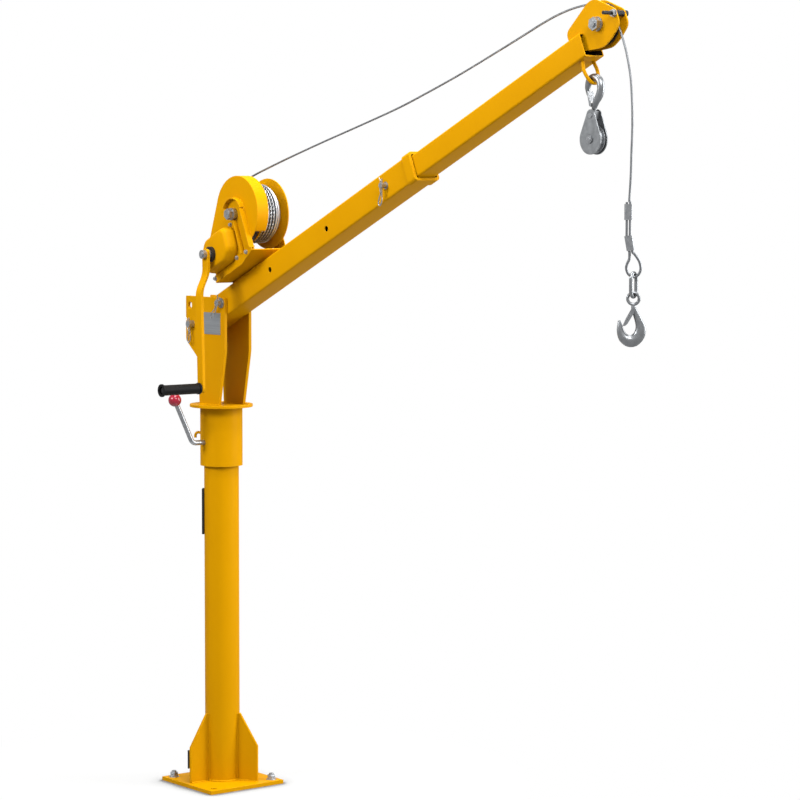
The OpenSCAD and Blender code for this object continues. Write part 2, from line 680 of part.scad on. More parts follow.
module crank_grip() color(black) on_crank() translate([0, 0, -crank_len]) difference() {
  union() {
    cross_bar(grip_d, grip_y - grip_len, grip_y);
    cross_bar(grip_d + 6, grip_y - grip_len, grip_y - grip_len + 4);
    cross_bar(grip_d + 3, grip_y - 5, grip_y);
  }
  cross_bar(grip_rod_d + 2 * run_gap, grip_y - grip_len - 1, grip_y + 1);
  cross_bar(grip_d - 6, grip_y - grip_len - 1, grip_y - grip_len + grip_dish);
}

// ---- inner boom and its head ------------------------------------------------

// The tube's top wall is slotted at the front for the two head cheeks
module inner_boom() color(yellow) on_boom() difference() {
  box_tube(inner_w, boom_wall, tube_corner, inner_back, inner_front);
  translate([ext_pin_u, 0, 0]) cross_bar(ext_hole_d, -inner_w, inner_w);
  translate([inner_front - cheek_seat, -cheek_out, inner_w / 2 - boom_wall - 1])
    cube([cheek_seat + 1, 2 * cheek_out, boom_wall + 2]);
}

// Head cheek: stands on the tube behind its seat and goes down into the tube in front
cheek_outline = soften([[inner_front - 48, inner_w / 2], [inner_front - 50, 51], [axle_u + 4, axle_v + 62],
                        [keeper_u + 6, axle_v + 6], [keeper_u + 6, axle_v - 30], [axle_u + 27, axle_v - 47],
                        [axle_u - 2, axle_v - 53], [axle_u - 28, axle_v - 46], [inner_front - cheek_seat, -5],
                        [inner_front - cheek_seat, inner_w / 2]],
                       [0, 15, 26, 8, 12, 14, 10, 12, 0, 0], 6);

module cheek(y0) difference() {
  side_plate(y0, y0 + cheek_t) polygon(cheek_outline);
  translate([axle_u, 0, axle_v]) cross_bar(axle_d + 2 * set_gap, y0 - 1, y0 + cheek_t + 1);
  translate([keeper_u, 0, keeper_v]) cross_bar(keeper_d + 2 * set_gap, y0 - 1, y0 + cheek_t + 1);
}
module head_cheek_left() color(yellow) on_boom() cheek(cheek_in);
module head_cheek_right() color(yellow) on_boom() cheek(-cheek_out);

module head_axle() color(zinc) on_boom() translate([axle_u, 0, axle_v]) {
  cross_bar(axle_d, -cheek_out - 19, cheek_out + 11);
  difference() {
    union() {
      for (y = [-cheek_out - 3, cheek_out]) cross_bar(31, y, y + 3);
      cross_hex(26, -cheek_out - 15, -cheek_out - 3);
      cross_hex(24, cheek_out + 3, cheek_out + 13);
    }
    cross_bar(axle_d - 1, -cheek_out - 19, cheek_out + 11);
  }
}

// Black bolt and its sleeve, which keep the rope on the sheave
module keeper_bolt() color(black) on_boom() translate([keeper_u, 0, keeper_v]) {
  cross_bar(keeper_d, -cheek_out - 32, cheek_out);
  cross_bar(14, cheek_out, cheek_out + 6);
  difference() {
    cross_bar(13, -cheek_in, cheek_in);
    cross_bar(keeper_d - 1, -cheek_in - 1, cheek_in + 1);
  }
}

module keeper_nut() color(zinc) on_boom() translate([keeper_u, 0, keeper_v]) difference() {
  union() {
    cross_hex(13, -cheek_out - 8, -cheek_out - 1.6);
    cross_bar(17, -cheek_out - 1.6, -cheek_out);
  }
  cross_bar(keeper_d + 2 * set_gap, -cheek_out - 9, -cheek_out + 1);
}

// Bent rod under the boom head that carries the snatch block; half of its line,
// across the boom and down
loop_top = [0, loop_half - 3, -inner_w / 2];
loop_side = [[-loop_half + 3, -inner_w / 2 - 2], [-loop_half + 2.5, -inner_w / 2 - 6], [-loop_half, loop_v + 33],
             [-loop_half + 1.5, loop_v + 21], [-loop_half * 0.66, loop_v + 8], [-loop_half * 0.3, loop_v + 1]];
module block_loop() color(yellow) on_boom() translate([loop_u, 0, 0]) {
  half = [for (p = loop_side) [0, p[0], p[1]]];
  bend = spline(concat(half, [[0, 0, loop_v]],
    [for (i = [len(half) - 1 : -1 : 0]) [0, -half[i][1], half[i][2]]]), 3);
  line = concat([[0, -loop_top[1], loop_top[2]]], bend, [loop_top]);
  rod(line, [for (p = line) loop_d / 2], [for (p = line) loop_d / 2], [1, 0, 0], 12);
}

// ---- wire rope and its fittings ---------------------------------------------

// Rope above the boom: share of the way from drum to head axle, distance across
// the boom, and height above the straight line between the two
rope_run = [[-0.018, -14, -2.5], [0.004, -14, 9], [0.035, -14, 13.5], [0.09, -13.5, 13.5],
            [0.15, -12.5, 12.5], [0.25, -11, 9], [0.36, -9.5, 3.5], [0.47, -8, -1], [0.55, -7, 0],
            [0.65, -5.5, 4], [0.76, -4, 12.5], [0.83, -2.5, 19], [0.865, -2, 22.5], [0.905, -1, 24.5],
            [0.945, 0, 22], [0.983, 0, 13]];
// Where the rope lifts off the winding, degrees about the drum's axis
rope_lift = 127;
// Rope round the head sheave, degrees about its axle
rope_wrap = [66, 43, 21, 5, -11];
// Rope fall from the head axle's centre, forward and down
rope_fall = [[57, -20], [67, -42], [76, -66], [88, -112], [93, -158], [95, -204], [94.5, -240],
             [93, -272], [91.5, -321], [89, -355], [87.5, -374]];

drum_u = winch_u + drum_a;
drum_v = boom_w / 2 + drum_b;
function boom_point(u, y, v) = [pivot_x + u * cos(boom_tilt) - v * sin(boom_tilt), y,
                                pivot_z + u * sin(boom_tilt) + v * cos(boom_tilt)];
rope_end = [fall_x + strand_s * cos(fall_turn), strand_s * sin(fall_turn), fall_z];
winding_rest = winding_r + rope_r + face_gap;
rope_line = spline(concat(
  [boom_point(drum_u + winding_rest * cos(rope_lift), -14, drum_v + winding_rest * sin(rope_lift))],
  [for (p = rope_run) boom_point(lerp(drum_u, axle_u, p[0]), p[1],
     lerp(drum_v + winding_r + rope_r, axle_v + rope_line_r, p[0]) + p[2])],
  [for (a = rope_wrap) boom_point(axle_u + rope_line_r * cos(a), 0, axle_v + rope_line_r * sin(a))],
  [for (p = rope_fall) [head_x + p[0], 0, head_z + p[1]]],
  [rope_end + [0, 0, 4], rope_end]), 2);

module hoist_rope() color(galvanised)
  rod(rope_line, [for (p = rope_line) rope_r], [for (p = rope_line) rope_r], [0, 1, 0], 8);

module ferrule(h, top) translate([0, 0, top - h]) linear_extrude(h) {
  for (s = [-1, 1]) translate([s * 4.2, 0]) circle(4.5, $fn = 48);
  square([8.4, 9], center = true);
}

module upper_ferrule() color(zinc) on_fall() ferrule(ferrule_h, 0);

module at_lower() translate([0, 0, -ferrule_h - strand_w]) rotate([0, -lower_tilt, 0]) children();

module lower_ferrule() color(zinc) on_fall() at_lower() ferrule(lower_h, 0);

// The two strands between the ferrules, and the cut end above the upper one
module rope_strands() color(galvanised) on_fall() difference() {
  union() {
    for (s = [-1, 1]) translate([s * strand_s, 0, -ferrule_h - strand_w - 3])
      cylinder(d = rope_d, h = strand_w + 3, $fn = 32);
    translate([-strand_s, 0, 0]) cylinder(d = rope_d, h = 4, $fn = 32);
  }
  at_lower() ferrule(lower_h, 0);
}

// Rope eye below the lower ferrule, across and down in the fall's own plane
eye_line = [[2.5, -117], [-2, -127], [-3.5, -137], [1, -149], [eye_s, eye_w], [22, -150],
            [27, -138], [24, -122], [15, -108]];
lower_foot = [[for (s = [-1, 1]) [s * strand_s * cos(lower_tilt) + lower_h * sin(lower_tilt),
              s * strand_s * sin(lower_tilt) - ferrule_h - strand_w - lower_h * cos(lower_tilt)]]][0];
foot_dir = [sin(lower_tilt), -cos(lower_tilt)];

module rope_eye() color(galvanised) on_fall() {
  flat_line = concat([lower_foot[0], lower_foot[0] + 5 * foot_dir], eye_line,
                     [lower_foot[1] + 5 * foot_dir, lower_foot[1]]);
  line = spline([for (p = flat_line) [p[0], 0, p[1]]], 3);
  rod(line, [for (p = line) eye_rod_r], [for (p = line) eye_rod_r], [0, 1, 0], 10);
}

// ---- head sheave --------------------------------------------------------------

module groove_wheel(r, w, hub_r, hub_w, bore, groove_low) difference() {
  rotate([90, 0, 0]) rotate_extrude() polygon([[bore / 2, -hub_w / 2], [hub_r, -hub_w / 2],
    [hub_r, -w / 2], [r, -w / 2], [r, -w / 2 + 2.5], [groove_low, -rope_r - 0.4], [groove_low, rope_r + 0.4],
    [r, w / 2 - 2.5], [r, w / 2], [hub_r, w / 2], [hub_r, hub_w / 2], [bore / 2, hub_w / 2]]);
}

module head_sheave() color(black) on_boom() translate([axle_u, 0, axle_v])
  groove_wheel(sheave_r, sheave_w, 14, 2 * (cheek_in - face_gap), axle_d + 2 * run_gap,
               rope_line_r - rope_r - face_gap);

// ---- snatch block ----------------------------------------------------------------

block_latch_at = [-4, 0, bight_z - 38];
module block_hook() color(galvanised) on_loop() {
  line = spline([[0, 0, bight_z - 48], [1, 0, bight_z - 41], [7, 0, bight_z - 30], [16, 0, bight_z - 18],
                 [21, 0, bight_z - 2], [17, 0, bight_z + 13], [7, 0, bight_z + 20.3],
                 [-5, 0, bight_z + 20.3], [-16, 0, bight_z + 13.5], [-21, 0, bight_z],
                 [-20.5, 0, bight_z - 9], [-19.5, 0, bight_z - 17]], 3);
  n = len(line) - 1;
  girth = [for (i = [0 : n]) let (t = i / n) t < 0.25 ? lerp(5.2, bight_rod_r, t / 0.25)
           : t < 0.7 ? bight_rod_r : lerp(bight_rod_r, 3, (t - 0.7) / 0.3)];
  rod(line, girth, girth, [0, 1, 0], 14);
  translate([0, 0, bight_z - 66]) cylinder(r = shank_r, h = 18.2);
  translate(block_latch_at) {
    cross_bar(3, -8.4, 8.4);
    cross_bar(8, -5.5, 5.5);
  }
}

// Sprung latch: two ears on a pin and a web that closes the hook's mouth
module latch_piece(reach, drop, ear_y, pin, web_from) {
  lean = atan2(reach, drop);
  long = norm([reach, drop]);
  rotate([0, lean, 0]) {
    for (y = [-ear_y - 1.2, ear_y]) side_plate(y, y + 1.2) difference() {
      union() {
        circle(3.4, $fn = 32);
        polygon([[-3.4, 0], [3.4, 0], [0.6, -long * 0.6], [-0.6, -long], [-2.6, -long * 0.6]]);
      }
      circle(d = pin + 2 * run_gap, $fn = 32);
    }
    translate([-0.6, -ear_y - 1.2, -long]) cube([1.2, 2 * ear_y + 2.4, long - web_from]);
  }
}

module block_latch() color(zinc) on_loop() translate(block_latch_at)
  mirror([0, 0, 1]) latch_piece(9, 29, 7.4, 3, 8);

module block_plates() color(galvanised) on_loop() {
  for (y = [-block_in - block_plate_t, block_in]) difference() {
    disc_pair(y, y + block_plate_t, [-1, block_axle_z], block_r, [0, block_top_z], 13);
    translate([-1, 0, block_axle_z]) cross_bar(block_axle_d + 2 * set_gap, y - 1, y + 4);
  }
  difference() {
    translate([-8, -block_in, block_top_z - 8]) cube([16, 2 * block_in, 17]);
    translate([0, 0, block_top_z - 6]) cylinder(r = shank_r + run_gap, h = 30);
  }
}

module block_pins() color(zinc) on_loop() {
  translate([-1, 0, block_axle_z]) {
    cross_bar(block_axle_d, -block_in - block_plate_t - 4, block_in + block_plate_t + 4);
    for (y = [-block_in - block_plate_t - 3, block_in + block_plate_t])
      difference() {
        cross_bar(17, y, y + 3);
        cross_bar(block_axle_d - 1, y - 1, y + 4);
      }
  }
  for (y = [-block_in - block_plate_t - 2, block_in + block_plate_t]) translate([0, 0, block_top_z])
    cross_bar(11, y, y + 2);
}

module block_sheave() color(zinc) on_loop() translate([-1, 0, block_axle_z])
  groove_wheel(block_r - 3, 2 * block_in - 3, 9, 2 * (block_in - face_gap), block_axle_d + 2 * run_gap,
               block_r - 9);

// ---- link and load hook ------------------------------------------------------------

module hook_link() color(galvanised) on_fall() translate([eye_s, 0, 0]) rotate([0, 0, link_turn]) {
  for (s = [-1, 1]) translate([s * link_half, 0, link_low + link_half])
    cylinder(d = link_d, h = link_top - link_low - 2 * link_half, $fn = 32);
  for (w = [[link_top - link_half, 0], [link_low + link_half, 180]]) translate([0, 0, w[0]])
    rotate([90, w[1], 0]) rotate_extrude(angle = 180) translate([link_half, 0])
      circle(d = link_d, $fn = 32);
}

module load_hook() color(galvanised) on_fall() {
  translate([eye_s, 0, ring_w]) rotate([90, 0, 0])
    rotate_extrude() translate([ring_r, 0]) circle(ring_rod_r, $fn = 32);
  in_r = hook_bowl_r;
  line = spline([for (p = [[eye_s, ring_w - ring_r - 1], [eye_s + 1, ring_w - 21], [eye_s + 5, ring_w - 31],
      [bowl_s + in_r + 7, bowl_w + 17], [bowl_s + in_r + 11, bowl_w + 2],
      [bowl_s + in_r + 7.5, bowl_w - 13], [bowl_s + 9, bowl_w - in_r - 11.5], [bowl_s - 3, bowl_w - in_r - 12.5],
      [bowl_s - 14, bowl_w - in_r - 5], [bowl_s - 20, bowl_w - 3], [bowl_s - 21.5, bowl_w + 9],
      [bowl_s - 23, bowl_w + 19]]) [p[0], 0, p[1]]], 3);
  thick = [4.5, 5.5, 6.5, 8.5, 11.5, 12.5, 13.5, 13, 11, 8, 5.5, 2.5];
  wide = [4.5, 5.5, 6, 7, 8, 8.5, 9, 9, 8, 6.5, 5, 2.5];
  n = len(thick) - 1;
  grow = function(g, i) let (k = min(floor(i / 3), n - 1)) lerp(g[k], g[k + 1], i / 3 - k);
  rod(line, [for (i = [0 : 3 * n]) grow(thick, i)], [for (i = [0 : 3 * n]) grow(wide, i)], [0, 1, 0], 14);
  translate([eye_s, 0, ring_w - 22]) cross_bar(3, -8.6, 8.6);
}

module hook_latch() color(zinc) on_fall() translate([eye_s, 0, ring_w - 22])
  latch_piece(21.6, 36, 7.4, 3, 14);

// ---- assembly ----------------------------------------------------------------------
base_plate();
post_tube();
gussets();
thrust_pad();
sleeve();
sleeve_bushes();
swivel_flange();
yoke_plate_left();
yoke_plate_right();
pivot_pin();
angle_pin();
pin_clips();
rating_plate();
parking_hook();
clamp_screw();
clamp_arm();
clamp_knob();
outer_boom();
boom_collar();
mouth_pads();
extension_pin();
extension_clip();
winch_mount_plate();
winch_tray();
winch_side_plate();
winch_near_upright();
winch_far_upright();
gear_cover();
brake_housing();
crank_bush();
drum_shaft();
drum();
drum_gear();
rope_winding();
crank_arm();
crank_shaft();
crank_grip();
inner_boom();
tail_pads();
head_cheek_left();
head_cheek_right();
head_axle();
keeper_bolt();
keeper_nut();
block_loop();
hoist_rope();
upper_ferrule();
rope_strands();
lower_ferrule();
rope_eye();
head_sheave();
block_hook();
block_latch();
block_plates();
block_pins();
block_sheave();
hook_link();
load_hook();
hook_latch();
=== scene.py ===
# Bolt-down swivel jib crane: powder-coated steel post and two-part boom, hand brake
# winch, wire rope, load hook and snatch block. Metres, Z up, the boom reaches to +X.
import json
import math
import random

import bmesh
import bpy
from mathutils import Matrix, Vector
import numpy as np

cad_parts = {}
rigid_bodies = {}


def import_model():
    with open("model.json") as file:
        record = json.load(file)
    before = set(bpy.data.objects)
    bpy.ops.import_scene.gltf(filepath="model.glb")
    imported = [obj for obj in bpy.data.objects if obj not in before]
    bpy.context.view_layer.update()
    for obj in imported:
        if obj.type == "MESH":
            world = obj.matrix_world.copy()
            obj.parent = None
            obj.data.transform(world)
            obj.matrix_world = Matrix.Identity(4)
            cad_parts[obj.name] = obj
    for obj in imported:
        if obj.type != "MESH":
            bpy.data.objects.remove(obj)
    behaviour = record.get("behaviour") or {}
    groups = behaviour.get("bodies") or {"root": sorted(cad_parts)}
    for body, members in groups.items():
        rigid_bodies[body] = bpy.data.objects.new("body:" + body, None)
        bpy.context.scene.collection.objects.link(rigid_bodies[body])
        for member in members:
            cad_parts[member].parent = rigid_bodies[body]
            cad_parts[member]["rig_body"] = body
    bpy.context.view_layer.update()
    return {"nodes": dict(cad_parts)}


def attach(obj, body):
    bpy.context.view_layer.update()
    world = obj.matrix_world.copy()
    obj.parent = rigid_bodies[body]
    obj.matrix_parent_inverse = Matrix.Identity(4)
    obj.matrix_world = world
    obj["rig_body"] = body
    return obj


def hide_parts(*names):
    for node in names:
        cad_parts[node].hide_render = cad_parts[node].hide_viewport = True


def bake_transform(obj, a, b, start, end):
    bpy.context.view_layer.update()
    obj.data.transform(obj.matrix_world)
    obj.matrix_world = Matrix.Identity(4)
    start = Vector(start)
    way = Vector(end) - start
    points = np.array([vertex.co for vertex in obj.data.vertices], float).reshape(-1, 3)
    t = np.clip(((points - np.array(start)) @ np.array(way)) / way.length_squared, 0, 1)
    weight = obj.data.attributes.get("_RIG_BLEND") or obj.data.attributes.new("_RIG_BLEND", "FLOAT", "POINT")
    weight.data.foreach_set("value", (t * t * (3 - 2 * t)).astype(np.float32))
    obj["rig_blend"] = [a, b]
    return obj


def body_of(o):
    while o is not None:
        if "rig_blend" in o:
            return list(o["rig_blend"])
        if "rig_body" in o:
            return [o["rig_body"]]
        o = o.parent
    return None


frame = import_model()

nodes = frame["nodes"]
mm = 0.001
draw = random.Random(11)

# ---- Camera -----------------------------------------------------------------
# Seven metres out on the crank's side, with a long lens, a little above the pivot.
camera_data = bpy.data.cameras.new("camera")
camera_data.sensor_width = 36
camera_data.lens = 128.13
camera = bpy.data.objects.new("camera", camera_data)
bpy.context.collection.objects.link(camera)
camera.matrix_world = (
    Matrix.Translation((5.98394, -4.11814, 1.58932))
    @ Matrix.Rotation(math.radians(51.8602), 4, "Z")
    @ Matrix.Rotation(math.radians(85.2772), 4, "X")
    @ Matrix.Rotation(math.radians(0.0901), 4, "Z")
)
bpy.context.scene.camera = camera
bpy.context.scene.view_settings.view_transform = "Standard"


# ---- Wire rope --------------------------------------------------------------
# Galvanised steel wire rope, 5 mm over six strands laid round each other. It lifts off
# the drum, bows up before the head sheave by its own stiffness, and hangs to a ferrule.
def linear(code):
    """sRGB hex to the linear colour that a shader socket takes."""
    parts = [int(code[i:i + 2], 16) / 255 for i in (1, 3, 5)]
    return [p / 12.92 if p <= 0.04045 else ((p + 0.055) / 1.055) ** 2.4 for p in parts] + [1]


def add(tree, kind, inputs=None, **settings):
    """One shader node; each input is a value or the socket that feeds it."""
    node = tree.nodes.new(kind)
    for name, value in settings.items():
        setattr(node, name, value)
    for socket, value in (inputs or {}).items():
        if isinstance(value, bpy.types.NodeSocket):
            tree.links.new(value, node.inputs[socket])
        else:
            node.inputs[socket].default_value = value
    return node


def new_material(name):
    """Material with an empty tree."""
    material = bpy.data.materials.new(name)
    material.use_nodes = True
    material.node_tree.nodes.clear()
    return material, material.node_tree


def mottle(tree, size_mm, detail):
    """Cloudy pattern fixed to the piece, its spots about that many millimetres across."""
    spot = add(tree, "ShaderNodeTexCoord")
    cloud = add(tree, "ShaderNodeTexNoise", {"Vector": spot.outputs["Object"], "Scale": 1000 / size_mm,
                                             "Detail": detail})
    return cloud.outputs["Fac"]


def between(tree, share, low, high):
    """Colour that runs from low to high, each a hex code or a socket."""
    low, high = (linear(end) if isinstance(end, str) else end for end in (low, high))
    return add(tree, "ShaderNodeMix", {0: share, 6: low, 7: high}, data_type="RGBA").outputs[2]


def spread(tree, value, low, high, start=0.0, end=1.0):
    """Number that runs from low to high as the value runs from start to end."""
    return add(tree, "ShaderNodeMapRange", {"Value": value, "From Min": start, "From Max": end,
                                            "To Min": low, "To Max": high}).outputs[0]


def combined(tree, operation, a, b):
    """Result of a maths node on two numbers."""
    return add(tree, "ShaderNodeMath", {0: a, 1: b}, operation=operation).outputs[0]


def bumped(tree, strength, depth, height):
    """Normal of a surface raised by the height."""
    bump = add(tree, "ShaderNodeBump", {"Strength": strength, "Distance": depth, "Height": height})
    return bump.outputs[0]


def edge_share(tree, radius, sharp, most=1.0):
    """Share, up to most, where a rounded edge's normal turns away from the flat one."""
    rounded = add(tree, "ShaderNodeBevel", {"Radius": radius}, samples=4)
    flat = add(tree, "ShaderNodeNewGeometry")
    alike = add(tree, "ShaderNodeVectorMath", {0: rounded.outputs["Normal"], 1: flat.outputs["Normal"]},
                operation="DOT_PRODUCT")
    return spread(tree, alike.outputs["Value"], 0.0, most, 0.97, sharp)


def surfaced(tree, inputs):
    """End a material with a Principled surface of those inputs."""
    surface = add(tree, "ShaderNodeBsdfPrincipled", inputs)
    add(tree, "ShaderNodeOutputMaterial", {"Surface": surface.outputs[0]})


def smooth_line(points, steps):
    """Smooth line through the given points, with that many steps between two."""
    found = []
    last = len(points) - 1
    for i in range(last):
        b, c = points[i], points[i + 1]
        a = points[i - 1] if i else 2 * b - c
        d = points[i + 2] if i + 2 <= last else 2 * c - b
        for k in range(steps):
            t = k / steps
            found.append(0.5 * (2 * b + (c - a) * t + (2 * a - 5 * b + 4 * c - d) * t * t
                                + (3 * b - a - 3 * c + d) * t ** 3))
    return found + [points[-1]]


def swept(name, path, profile, twist=0.0, girth=None, closed=False):
    """Mesh of a flat outline carried along a path, turned by twist radians a metre."""
    outline = bpy.data.curves.new(name + "_outline", "CURVE")
    spline = outline.splines.new("POLY")
    spline.points.add(len(profile) - 1)
    for point, (x, y) in zip(spline.points, profile):
        point.co = (x, y, 0, 1)
    spline.use_cyclic_u = True
    outline_object = bpy.data.objects.new(name + "_outline", outline)
    bpy.context.collection.objects.link(outline_object)
    curve = bpy.data.curves.new(name, "CURVE")
    curve.dimensions = "3D"
    curve.twist_mode = "MINIMUM"
    curve.bevel_mode = "OBJECT"
    curve.bevel_object = outline_object
    curve.use_fill_caps = True
    line = curve.splines.new("POLY")
    line.points.add(len(path) - 1)
    line.use_cyclic_u = closed
    travelled = 0
    for i, (point, stop) in enumerate(zip(line.points, path)):
        travelled += (stop - path[i - 1]).length if i else 0
        point.co = (*stop, 1)
        point.tilt = travelled * twist
        point.radius = girth[i] if girth else 1
    holder = bpy.data.objects.new(name + "_curve", curve)
    bpy.context.collection.objects.link(holder)
    bpy.context.view_layer.update()
    graph = bpy.context.evaluated_depsgraph_get()
    mesh = bpy.data.meshes.new_from_object(holder.evaluated_get(graph), depsgraph=graph)
    for used in (holder, outline_object):
        bpy.data.objects.remove(used)
    return mesh


def to_mesh(form, name):
    """Mesh of that name from a finished form, which is freed."""
    mesh = bpy.data.meshes.new(name)
    form.to_mesh(mesh)
    form.free()
    return mesh


def shade(form, smooth):
    """Smooth faces, with a hard edge wherever two of them turn by more than that angle."""
    for face in form.faces:
        face.smooth = True
    for edge in form.edges:
        edge.smooth = len(edge.link_faces) < 2 or edge.calc_face_angle(0) < math.radians(smooth)


def place(name, mesh, material, body=None, smooth=40):
    """Object of that mesh: closed up, faces outwards, shaded smooth up to an angle."""
    form = bmesh.new()
    form.from_mesh(mesh)
    bmesh.ops.remove_doubles(form, verts=form.verts, dist=0.00001)
    bmesh.ops.recalc_face_normals(form, faces=form.faces)
    shade(form, smooth)
    form.to_mesh(mesh)
    form.free()
    mesh.name = name
    mesh.materials.clear()
    mesh.materials.append(material)
    piece = bpy.data.objects.new(name, mesh)
    bpy.context.collection.objects.link(piece)
    if body:
        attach(piece, body)
    return piece


boom_tilt = math.radians(24.3)
pivot = Vector((62, 0, 1241.3)) * mm
drum_u, drum_v = 181, 165.5
axle_u, axle_v = 1520.5, 24
winding_r = 74
rope_r = 2.5
face_gap = 0.3


def boom_point(u, y, v):
    """Place u along the boom from its pivot, y across it and v square to it, in mm."""
    return pivot + mm * Vector((u * math.cos(boom_tilt) - v * math.sin(boom_tilt), y,
                                u * math.sin(boom_tilt) + v * math.cos(boom_tilt)))


# Share of the way from drum to head axle, distance across, height above the straight line
rope_run = [(-0.018, -14, -2.5), (0.004, -14, 9), (0.035, -14, 13.5), (0.09, -13.5, 13.5),
            (0.15, -12.5, 12.5), (0.25, -11, 9), (0.36, -9.5, 3.5), (0.47, -8, -1), (0.55, -7, 0),
            (0.65, -5.5, 4), (0.76, -4, 12.5), (0.83, -2.5, 19), (0.865, -2, 22.5),
            (0.905, -1, 24.5), (0.945, 0, 22), (0.983, 0, 13)]
rope_lift = math.radians(127)
rope_wrap = (66, 43, 21, 5, -11)
rope_fall = [(57, -20), (67, -42), (76, -66), (88, -112), (93, -158), (95, -204), (94.5, -240),
             (93, -272), (91.5, -321), (89, -355), (87.5, -374)]
sheave_line_r = 42
head_axle_place = boom_point(axle_u, 0, axle_v)
fall_place = head_axle_place + mm * Vector((85, 0, -381.6))
fall_turn = math.radians(50)
strand_s = 3.5
off_drum = winding_r + rope_r + face_gap
rope_points = [boom_point(drum_u + off_drum * math.cos(rope_lift), -14,
                          drum_v + off_drum * math.sin(rope_lift))]
for share, across, rise in rope_run:
    low, high = drum_v + winding_r + rope_r, axle_v + sheave_line_r
    rope_points.append(boom_point(drum_u + (axle_u - drum_u) * share, across,
                                  low + (high - low) * share + rise))
for degrees in rope_wrap:
    turned = math.radians(degrees)
    rope_points.append(boom_point(axle_u + sheave_line_r * math.cos(turned), 0,
                                  axle_v + sheave_line_r * math.sin(turned)))
for forward, down in rope_fall:
    rope_points.append(head_axle_place + mm * Vector((forward, 0, down)))
rope_end = fall_place + mm * strand_s * Vector((math.cos(fall_turn), math.sin(fall_turn), 0))
rope_points += [rope_end + mm * Vector((0, 0, 4)), rope_end]
rope_path = smooth_line(rope_points, 24)


def wire_rope_finish(name, crown_low, crown_high, valley):
    """Zinc on the crowns of the strands, mottled about 4 mm across, and grease in between, darkened as
    painted shade where the strands meet.
    """
    material, tree = new_material(name)
    spots = mottle(tree, 4, 3.0)
    hollow = add(tree, "ShaderNodeAmbientOcclusion", {"Distance": 0.004}, samples=4)
    crown = between(tree, spots, crown_low, crown_high)
    # Painted shade: the hollows between the strands turn to the valley colour
    greased_and_shaded = between(tree, spread(tree, hollow.outputs["AO"], 0.0, 1.0, 0.3, 0.75), valley, crown)
    surfaced(tree, {"Base Color": greased_and_shaded, "Roughness": spread(tree, spots, 0.34, 0.5), "Metallic": 0.85})
    return material


# Galvanised wire rope, greased: dull grey zinc, drawn from the pot and then handled
rope_finish = wire_rope_finish("galvanised_wire_rope", "#67696c", "#a3a6aa", "#2a2b2c")


def strand_ring(radius, strands=6, points=5):
    """Outline of a rope cut square: round strands that touch, on a circle."""
    strand = radius / 3
    ring = []
    for i in range(strands * points):
        turned = 2 * math.pi * i / (strands * points)
        off = (turned + math.pi / strands) % (2 * math.pi / strands) - math.pi / strands
        far = (2 * strand * math.cos(off)
               + math.sqrt(max(0, strand ** 2 - (2 * strand * math.sin(off)) ** 2)))
        ring.append((far * math.cos(turned), far * math.sin(turned)))
    return ring


def round_ring(radius, points=16):
    """Outline of a round bar cut square."""
    turns = [2 * math.pi * i / points for i in range(points)]
    return [(radius * math.cos(t), radius * math.sin(t)) for t in turns]


lay_length = 6.5 * 2 * rope_r * mm
lay_twist = 2 * math.pi / lay_length
rope_mesh = swept("rope", rope_path, strand_ring(rope_r * mm), lay_twist)
rope = place("wire_rope_line", rope_mesh, rope_finish, smooth=80)
# The head carries the rope from a little before its sheave on
blend_end = head_axle_place - 0.15 * Vector((1, 0, 0))
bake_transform(rope, "boom", "boom_extension", start=rope_path[0], end=blend_end)
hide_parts("hoist_rope")


# ---- Post -------------------------------------------------------------------
# Square base plate, tube and three gussets, all mild steel plate cut, welded together and
# powder coated yellow. Two anchor bolts hold it down; the other two holes stand empty.
# Powder coat on shot-blasted steel: an even, half-gloss film with a fine orange peel
# about 2 mm across, drawn 3 mm so that it shows, and paler along the edges, a painted
# highlight where the film also runs thin. Light that one painted face passes on to
# another is browner than the film, to deepen corners.
powder_coat, tree = new_material("yellow_powder_coat")
cloud = mottle(tree, 160, 2.0)
film = between(tree, cloud, "#f1a800", "#f8b200")
# A painted highlight along the edges, where the film also runs thin, in patches about 14 mm across
edge_patches = spread(tree, mottle(tree, 14, 4.0), 0.3, 0.85, 0.35, 0.65)
thin_film_and_highlight = combined(tree, "MULTIPLY", edge_share(tree, 0.0016, 0.78), edge_patches)
coat = between(tree, thin_film_and_highlight, film, "#ffca45")
path = add(tree, "ShaderNodeLightPath")
passed_on = between(tree, path.outputs["Is Diffuse Ray"], coat, "#b07c1c")
surfaced(tree, {"Base Color": passed_on, "Roughness": spread(tree, cloud, 0.4, 0.5),
                "Specular IOR Level": 0.05, "Normal": bumped(tree, 0.12, 0.0003, mottle(tree, 3, 1.0))})


def finish(names, material):
    """Give CAD nodes their finish."""
    for name in names:
        nodes[name].data.materials.clear()
        nodes[name].data.materials.append(material)


